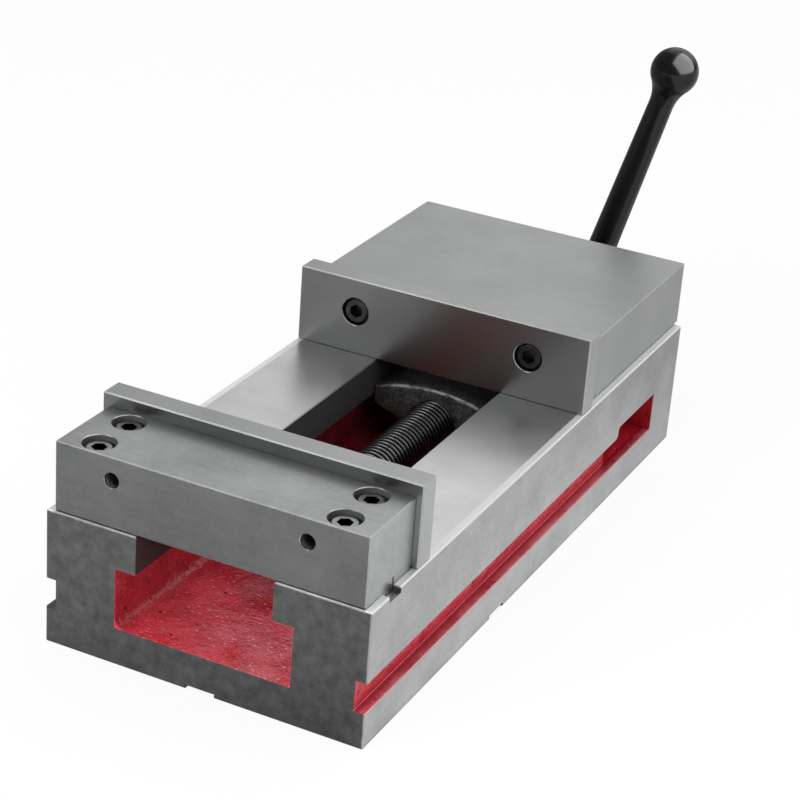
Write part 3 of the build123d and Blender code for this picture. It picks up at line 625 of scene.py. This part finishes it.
def rough_casting(name):
    """Dark cast iron: bumps of two sizes, a lighter tone where the bumps stand high, and a bright band on
    the rounded edge, wear with a painted highlight in it, which is where the surface faces about 45 degrees
    off Y."""
    material, tree, place = start_material(name)
    lumps = add(tree, "ShaderNodeTexNoise",
                {"Vector": place, "Scale": 1 / (lump_mm * MM), "Detail": 5.0, "Roughness": 0.65})
    grit = add(tree, "ShaderNodeTexNoise",
               {"Vector": place, "Scale": 1 / (casting_grit_mm * MM), "Detail": 3.0})
    height = add(tree, "ShaderNodeMath", {0: lumps, 1: grit}, operation="ADD")
    tone = add(tree, "ShaderNodeMapRange", {"Value": height, "From Min": 0.75, "From Max": 1.25})
    facing = add(tree, "ShaderNodeTexCoord").outputs["Normal"]
    facing = add(tree, "ShaderNodeSeparateXYZ", {0: facing}).outputs["Y"]
    facing = add(tree, "ShaderNodeMath", {0: facing}, operation="ABSOLUTE")
    rounded = add(tree, "ShaderNodeMath", {0: facing, 1: 0.7, 2: 0.26}, operation="COMPARE")
    # Wear and a painted highlight: a bright band where the rounded edge faces about 45 degrees off Y.
    wear_and_highlight = add(tree, "ShaderNodeMapRange", {"Value": lumps, "From Min": 0.42, "From Max": 0.56})
    wear_and_highlight = add(tree, "ShaderNodeMath", {0: wear_and_highlight, 1: rounded}, operation="MULTIPLY")
    colour = linear("#404141")
    for where, layer in ((tone, "#7a7b7a"), (wear_and_highlight, "#a8aaa9")):
        colour = add(tree, "ShaderNodeMix", {"Factor": where, "A": colour, "B": linear(layer)},
                     data_type="RGBA")
    rough = add(tree, "ShaderNodeMapRange",
                {"Value": grit, "From Min": 0.3, "From Max": 0.7, "To Min": 0.42, "To Max": 0.62})
    return end_material(material, surface(tree, colour, rough, 0.85, height, casting_relief_mm))


def groove_shaded_thread(name, root, crest):
    """Steel with painted shade in the groove: the colour goes from a near black root to the crest with the
    distance from the screw's axis, and streaks of oil break the gloss."""
    material, tree, place = start_material(name)
    out = add(tree, "ShaderNodeVectorMath", {0: place, 1: (0, 0, -screw_axis_z * MM)}, operation="ADD")
    out = add(tree, "ShaderNodeVectorMath", {0: out, 1: (1, 0, 1)}, operation="MULTIPLY")
    radius = add(tree, "ShaderNodeVectorMath", {0: out}, operation="LENGTH").outputs["Value"]
    rise = add(tree, "ShaderNodeMapRange",
               {"Value": radius, "From Min": shade_from * MM, "From Max": shade_to * MM})
    streaks = add(tree, "ShaderNodeTexNoise",
                  {"Vector": place, "Scale": 1 / (oil_streak_mm * MM), "Detail": 3.0})
    colour = add(tree, "ShaderNodeMix", {"Factor": rise, "A": linear(root), "B": linear(crest)},
                 data_type="RGBA")
    rough = add(tree, "ShaderNodeMapRange",
                {"Value": streaks, "From Min": 0.3, "From Max": 0.7, "To Min": 0.18, "To Max": 0.30})
    steel = add(tree, "ShaderNodeBsdfPrincipled",
                {"Base Color": colour, "Roughness": rough, "Metallic": 1.0})
    return end_material(material, steel)


nut_casting = rough_casting("oiled rough cast iron")
screw_steel = groove_shaded_thread("lead screw steel, shaded in its groove", "#161616", "#8c8d8d")
print("made:", nut_casting.name, "|", screw_steel.name)

# %% [markdown]
# The jaw's four screws have ground heads; their sockets are painted black and their bevels a darker grey,
# as painted shade. The other small parts are turned, stamped or treated metal: one function serves them,
# with a tone that wanders by a few millimetres. The hub and the lever are black enamel, the hub's over a
# casting and the lever's dipped thick, so it shines more.

# %% Screws, turned parts and black enamel
socket_reach, socket_top = 4.0, 2.15
bevel_start = 5.1
head_tone_mm = 2.0
head_lift_mm = 0.01
orange_peel_mm = 4.0
orange_peel_lift_mm = 0.02


def bolt_face(name, dark, light):
    """Steel screw heads that stand upright: light on the ring round the socket, with painted shade black in
    the socket and grey on the bevel, told apart by the distance to the screw's axis."""
    material, tree, place = start_material(name)
    reach = from_bolt_axis(tree, place)
    # Painted shade: the socket is painted near black.
    socket = add(tree, "ShaderNodeMath", {0: reach, 1: socket_reach * MM}, operation="LESS_THAN")
    socket = add(tree, "ShaderNodeMath", {0: socket, 1: below(tree, place, jaw_top - socket_top)},
                 operation="MULTIPLY")
    bevel_shade = add(tree, "ShaderNodeMath", {0: reach, 1: bevel_start * MM}, operation="GREATER_THAN")
    tone = add(tree, "ShaderNodeTexNoise",
               {"Vector": place, "Scale": 1 / (head_tone_mm * MM), "Detail": 4.0})
    colour = linear(dark)
    # The bevel's grey and the socket's near black are painted shade.
    for where, layer in ((tone, light), (bevel_shade, "#565757"), (socket, "#101010")):
        colour = add(tree, "ShaderNodeMix", {"Factor": where, "A": colour, "B": linear(layer)},
                     data_type="RGBA")
    rough = add(tree, "ShaderNodeMapRange",
                {"Value": tone, "From Min": 0.3, "From Max": 0.7, "To Min": 0.26, "To Max": 0.36})
    return end_material(material, surface(tree, colour, rough, 1.0, tone, head_lift_mm))


def satin_metal(name, dark, light, gloss, tone_mm=3.0, lift_mm=0.01):
    """A turned, stamped or treated metal with a fine uneven tone. Gloss is the least and most roughness."""
    material, tree, place = start_material(name)
    tone = add(tree, "ShaderNodeTexNoise", {"Vector": place, "Scale": 1 / (tone_mm * MM), "Detail": 4.0})
    share = add(tree, "ShaderNodeMapRange", {"Value": tone, "From Min": 0.3, "From Max": 0.7})
    colour = add(tree, "ShaderNodeMix", {"Factor": share, "A": linear(dark), "B": linear(light)},
                 data_type="RGBA")
    rough = add(tree, "ShaderNodeMapRange",
                {"Value": tone, "From Min": 0.3, "From Max": 0.7, "To Min": gloss[1], "To Max": gloss[0]})
    return end_material(material, surface(tree, colour, rough, 1.0, tone, lift_mm))


def gloss_enamel(name, dark, light, gloss, ior):
    """A dipped enamel: a black body under a clear gloss, with shallow orange peel."""
    material, tree, place = start_material(name)
    peel = add(tree, "ShaderNodeTexNoise",
               {"Vector": place, "Scale": 1 / (orange_peel_mm * MM), "Detail": 2.0})
    tone = add(tree, "ShaderNodeMix", {"Factor": peel, "A": linear(dark), "B": linear(light)},
               data_type="RGBA")
    rough = add(tree, "ShaderNodeMapRange",
                {"Value": peel, "From Min": 0.3, "From Max": 0.7, "To Min": gloss[0], "To Max": gloss[1]})
    return end_material(material, surface(tree, tone, rough, 0.0, peel, orange_peel_lift_mm, IOR=ior))


# Ground heads are pale rings; black oxide is a thin dark skin on steel that stays satin; a tapped thread
# is duller than a ground face, and its grey is painted darker as the shade inside a hole. Turned steel is
# a plain soft grey, and bearing steel nearly a mirror.
bolt_steel = bolt_face("ground screw steel", "#8a8b8b", "#a8a9a9")
black_oxide = satin_metal("black oxide steel", "#4a4a4c", "#6c6c6e", (0.26, 0.40))
shaded_tapped_steel = satin_metal("shaded tapped thread steel", "#4c4d4d", "#6e6f6f", (0.36, 0.48))
turned_steel = satin_metal("turned steel", "#969899", "#acaeaf", (0.24, 0.36))
bearing_steel = satin_metal("polished bearing steel", "#b4b6b8", "#c6c8ca", (0.10, 0.16))
# Stamped brass is a warm yellow, and bronze browner and redder. Both enamels are black, and show only
# what they reflect.
brass = satin_metal("stamped brass", "#b48f4c", "#c8a862", (0.22, 0.34))
bronze = satin_metal("turned bronze", "#9c6f42", "#b58452", (0.24, 0.36))
black_casting = gloss_enamel("black enamel on cast iron", "#060606", "#0e0e0e", (0.18, 0.26), 1.5)
lever_black = gloss_enamel("high gloss black enamel", "#030303", "#070707", (0.15, 0.21), 1.4)
print("finishes:", len(bpy.data.materials))

# %% [markdown]
# Each part of the frame keeps its shape and takes a finish. The table pairs them.

# %% Table of finishes
finish_of = {
    "bed": bed_finish,
    "fixed_jaw": bored_steel,
    "movable_jaw": block_steel,
    "jaw_key": plate_steel,
    "fixed_jaw_plate": plate_steel,
    "movable_jaw_plate": plate_steel,
    "fixed_jaw_bolts": bolt_steel,
    "fixed_plate_screws": black_oxide,
    "movable_plate_screws": black_oxide,
    "nut": nut_casting,
    "half_ball": bearing_steel,
    "jaw_set_screw": black_oxide,
    "lead_screw": screw_steel,
    "thrust_washer_front": bearing_steel,
    "thrust_washer_rear": bearing_steel,
    "thrust_balls": bearing_steel,
    "thrust_cage": brass,
    "bearing_bush": bronze,
    "rear_cap": turned_steel,
    "rear_cap_screws": black_oxide,
    "lock_collar": turned_steel,
    "collar_set_screw": black_oxide,
    "handle_hub": black_casting,
    "handle_lever": lever_black,
    "handle_washer": bearing_steel,
    "handle_screw": black_oxide,
}
for node_name, finish in finish_of.items():
    slots = frame["nodes"][node_name].data.materials
    slots.clear()
    slots.append(finish)
print("finished", len(finish_of), "parts")

# %% [markdown]
# The frame's meshes are loose triangles, which show a round part as a row of flats. A part with round
# surfaces is therefore shown by a copy whose equal corners are merged and whose faces are shaded
# smooth, with every edge that turns by more than 28 degrees kept sharp. The part itself isn't touched.

# %% Smooth copies
body_of_node = {n: body for body, nodes in frame["record"]["behaviour"]["bodies"].items() for n in nodes}
sharp_angle = math.radians(28)
same_point_m = 1e-7


def merged_mesh(name, points, faces):
    """Corners that agree to a tenth of a micron become one, and faces left with two equal corners go."""
    grid = np.round(points / same_point_m).astype(np.int64)
    _, first, where = np.unique(grid, axis=0, return_index=True, return_inverse=True)
    faces = where.reshape(-1)[faces]
    same = faces == np.roll(faces, -1, axis=1)
    whole = faces[~same.any(axis=1)].tolist()
    if faces.shape[1] == 4:
        thin = faces[same.sum(axis=1) == 1]
        skip = same[same.sum(axis=1) == 1].argmax(axis=1)
        picked = (skip[:, None] + np.array([1, 2, 3])) % 4
        whole += np.take_along_axis(thin, picked, axis=1).tolist()
    mesh = bpy.data.meshes.new(name)
    mesh.from_pydata(points[first], [], whole)
    return mesh


def finished_piece(name, mesh, nodes, own_finish=None):
    """A piece that is shaded smooth between sharp edges and rides with its nodes. It replaces them and takes
    their finish, or it is added to them and has a finish of its own."""
    work = bmesh.new()
    work.from_mesh(mesh)
    bmesh.ops.recalc_face_normals(work, faces=work.faces)
    work.to_mesh(mesh)
    work.free()
    mesh.polygons.foreach_set("use_smooth", np.ones(len(mesh.polygons), bool))
    mesh.set_sharp_from_angle(angle=sharp_angle)
    mesh.materials.append(own_finish or finish_of[nodes[0]])
    piece = bpy.data.objects.new(name, mesh)
    bpy.context.scene.collection.objects.link(piece)
    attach(piece, body_of_node[nodes[0]])
    if own_finish is None:
        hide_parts(*nodes)
    return piece


def node_triangles(node):
    """Corners and triangles of a node of the frame, as arrays."""
    mesh = frame["nodes"][node].data
    points = np.empty(len(mesh.vertices) * 3, np.float32)
    mesh.vertices.foreach_get("co", points)
    mesh.calc_loop_triangles()
    triangles = np.empty(len(mesh.loop_triangles) * 3, np.int32)
    mesh.loop_triangles.foreach_get("vertices", triangles)
    return points.reshape(-1, 3).astype(float), triangles.reshape(-1, 3)


def smooth_copy(node):
    """A merged and smooth-shaded copy that stands for a node."""
    points, triangles = node_triangles(node)
    mesh = merged_mesh(node + "_smooth", points, triangles)
    return finished_piece(node + "_smooth", mesh, [node])


round_nodes = [n for n in finish_of if n not in ("lead_screw", "handle_lever", "jaw_key")]
copies = [smooth_copy(n) for n in round_nodes]
print("smooth copies:", len(copies), "faces:", sum(len(c.data.polygons) for c in copies))

# %% [markdown]
# The lead screw's thread is cut on a lathe: one groove that winds along the bar, 3 mm from turn to
# turn. It is left-handed here, so that a clockwise turn of the lever closes the jaw. A groove like this
# could be a Screw modifier; a grid worked out by numpy gives control of the run-out at both ends. Rows
# follow the winding, so that the crest's edges stay crisp, and the rest of the screw is the frame's.

# %% Lead screw
thread_pitch = 3.0
thread_crest = 11.0
thread_root = 9.4
thread_end_radius = 9.2
thread_start, thread_stop = -113.0, 123.0
# Shares of one pitch, and how far up from root to crest the profile stands there: a crest worn round.
thread_shape = ((0.0, 0.0), (0.12, 0.0), (0.22, 0.45), (0.29, 0.80), (0.37, 0.96), (0.46, 1.0), (0.55, 0.96),
                (0.63, 0.80), (0.70, 0.45), (0.80, 0.0))


def thread_points(steps_round):
    """A point at turn a and share s of winding k lies at y = start + pitch (k + s - a / full turn), on the
    circle of the profile's radius. Y is held between the ends, where the radius falls at 45 degrees."""
    turns = math.ceil((thread_stop - thread_start) / thread_pitch) + 1
    share, height = np.array(thread_shape).T
    along = (np.arange(turns)[:, None] + share[None, :]).reshape(-1, 1)
    radius = thread_root + (thread_crest - thread_root) * np.tile(height, turns).reshape(-1, 1)
    turn = np.linspace(0, 1, steps_round + 1)[None, :]
    y = thread_start + thread_pitch * (along - turn)
    y = np.clip(y, thread_start, thread_stop)
    from_end = np.minimum(y - thread_start, thread_stop - y)
    radius = np.minimum(radius, thread_end_radius + from_end)
    angle = 2 * math.pi * turn
    points = np.stack([radius * np.sin(angle), y + 0 * angle, screw_axis_z + radius * np.cos(angle)], -1)
    lid = np.zeros((1, steps_round + 1, 3)) + (0, thread_start, screw_axis_z)
    base = np.zeros((1, steps_round + 1, 3)) + (0, thread_stop, screw_axis_z)
    return np.concatenate([lid, points, base]) * MM


def grid_faces(rows, columns):
    """Four corners for each cell of a grid of points."""
    corner = np.arange(rows * columns).reshape(rows, columns)
    cells = np.stack([corner[:-1, :-1], corner[:-1, 1:], corner[1:, 1:], corner[1:, :-1]], -1)
    return cells.reshape(-1, 4)


def grid_mesh(name, grids):
    """One mesh from grids of points that all have the same rows and columns."""
    rows, columns = grids[0].shape[:2]
    cells = [grid_faces(rows, columns) + i * rows * columns for i in range(len(grids))]
    points = np.concatenate([g.reshape(-1, 3) for g in grids])
    return merged_mesh(name, points, np.concatenate(cells))


thread = finished_piece("lead_screw_thread", grid_mesh("lead_screw_thread", [thread_points(64)]),
                        ["lead_screw"])
points, triangles = node_triangles("lead_screw")
behind = (points[triangles][:, :, 1] > (thread_stop - 0.1) * MM).all(axis=1)
shank = finished_piece("lead_screw_shank", merged_mesh("lead_screw_shank", points, triangles[behind]),
                       ["lead_screw"])
print("thread faces:", len(thread.data.polygons), "shank faces:", len(shank.data.polygons))

# %% [markdown]
# The fixed jaw has two spare tapped holes in its front, for a work stop. Light that falls into such a
# hole catches the first turns of its thread. The block's mesh has the plain bore, and the thread is a
# ridge of its own in it: a triangle carried along a helix just inside the bore.

# %% Threads of the spare holes
hole_x, hole_z = 45.0, 84.5
hole_mouth, hole_bottom = -167.0, -148.4
hole_wall, ridge_top = 3.38, 3.02
ridge_pitch, ridge_half_width = 1.25, 0.55


def ridge_points(x, steps_round):
    """The triangle's corners lie at radius wall, top, wall and at y less, at and more than the helix, which
    moves one pitch a turn. At both ends the three corners meet in one point on the wall."""
    turns = (hole_bottom - hole_mouth) / ridge_pitch
    turn = np.linspace(0, turns, int(turns * steps_round) + 1)[:, None]
    fade = np.clip(np.minimum(turn, turns - turn) * 4, 0, 1)
    radius = hole_wall - fade * np.array([[0, hole_wall - ridge_top, 0, 0]])
    along = hole_mouth + ridge_pitch * turn + fade * np.array([[-ridge_half_width, 0, ridge_half_width,
                                                                -ridge_half_width]])
    angle = 2 * math.pi * turn
    return np.stack([x + radius * np.sin(angle), along, hole_z + radius * np.cos(angle)], -1) * MM


ridge_mesh = grid_mesh("fixed_jaw_threads", [ridge_points(x, 24) for x in (-hole_x, hole_x)])
ridges = finished_piece("fixed_jaw_threads", ridge_mesh, ["fixed_jaw"], shaded_tapped_steel)
print("thread ridge faces:", len(ridges.data.polygons))

# %% [markdown]
# The lever is one forging: a tapered bar that runs out through a hollow curve into a ball. It is a
# profile turned about its own axis. The hollow and the ball are circles that touch, so the joint
# between them has no edge, and the enamel's reflection slides over it without a kink.

# %% Lever
lever_foot = np.array((0, 220.8, screw_axis_z))
lever_lean = math.radians(15.4)
lever_length = 142.2
lever_bottom = 13.5
spigot_radius, spigot_top = 6.0, 31.05
root_radius, neck_radius = 7.5, 6.4
ball_radius, hollow_radius = 12.3, 22.0


def lever_profile():
    """Distance along the lever and radius: spigot, taper, an arc of the hollow's circle, an arc of the
    ball's. The circles touch where the line between their middles crosses them."""
    reach = math.sqrt((ball_radius + hollow_radius) ** 2 - (neck_radius + hollow_radius) ** 2)
    start = lever_length - reach
    meet_angle = math.atan2(reach, neck_radius + hollow_radius)
    bend = np.linspace(0, meet_angle, 14)
    hollow = np.stack([start + hollow_radius * np.sin(bend),
                       neck_radius + hollow_radius - hollow_radius * np.cos(bend)], -1)
    swing = np.linspace(math.pi / 2 - meet_angle, math.pi, 40)
    ball = np.stack([lever_length - ball_radius * np.cos(swing), ball_radius * np.sin(swing)], -1)
    taper = np.linspace(0, 1, 12)[:, None] * np.array([[start - spigot_top, neck_radius - root_radius]])
    taper = taper + np.array([[spigot_top, root_radius]])
    foot = np.array([[lever_bottom, 0.0], [lever_bottom, spigot_radius], [spigot_top, spigot_radius]])
    return np.concatenate([foot, taper, hollow[1:], ball[1:]])


def turned_points(profile, foot, axis, sideways, steps_round):
    """Foot plus the distance along the axis plus the radius on a circle square to it."""
    other = np.cross(axis, sideways)
    angle = np.linspace(0, 2 * math.pi, steps_round + 1)[None, :, None]
    along, radius = profile[:, 0][:, None, None], profile[:, 1][:, None, None]
    return foot + along * axis + radius * (np.cos(angle) * sideways + np.sin(angle) * other)


lever_axis = np.array((math.sin(lever_lean), 0, math.cos(lever_lean)))
lever_points = turned_points(lever_profile(), lever_foot, lever_axis, np.array((0, 1.0, 0)), 72) * MM
lever = finished_piece("handle_lever_turned", grid_mesh("handle_lever_turned", [lever_points]),
                       ["handle_lever"])
print("lever faces:", len(lever.data.polygons))

# %% [markdown]
# The lever's ball shows one large bright window. A lamp that bright would bleach the steel, so in a
# studio black cards keep it off, and others keep the small lamp overhead off the ball. Light linking
# does the cards' work: a lamp is given the things that it lights, or the things that it leaves out.

# %% Window on the ball
ball_place = (0.04, 0.22, 0.17)


def cards(lamp, state, piece):
    """The lamp lights only the piece, or all but the piece, by state."""
    shown = bpy.data.collections.new(lamp.name + "_cards")
    shown.objects.link(piece)
    shown.collection_objects[0].light_linking.link_state = state
    lamp.light_linking.receiver_collection = shown


window = softbox("softbox_window", (1.50, 0.10, 1.70), ball_place, width=4.4, height=3.8, watts=320)
cards(window, "INCLUDE", lever)
cards(overhead, "EXCLUDE", lever)
print("cards:", window.name, overhead.name)
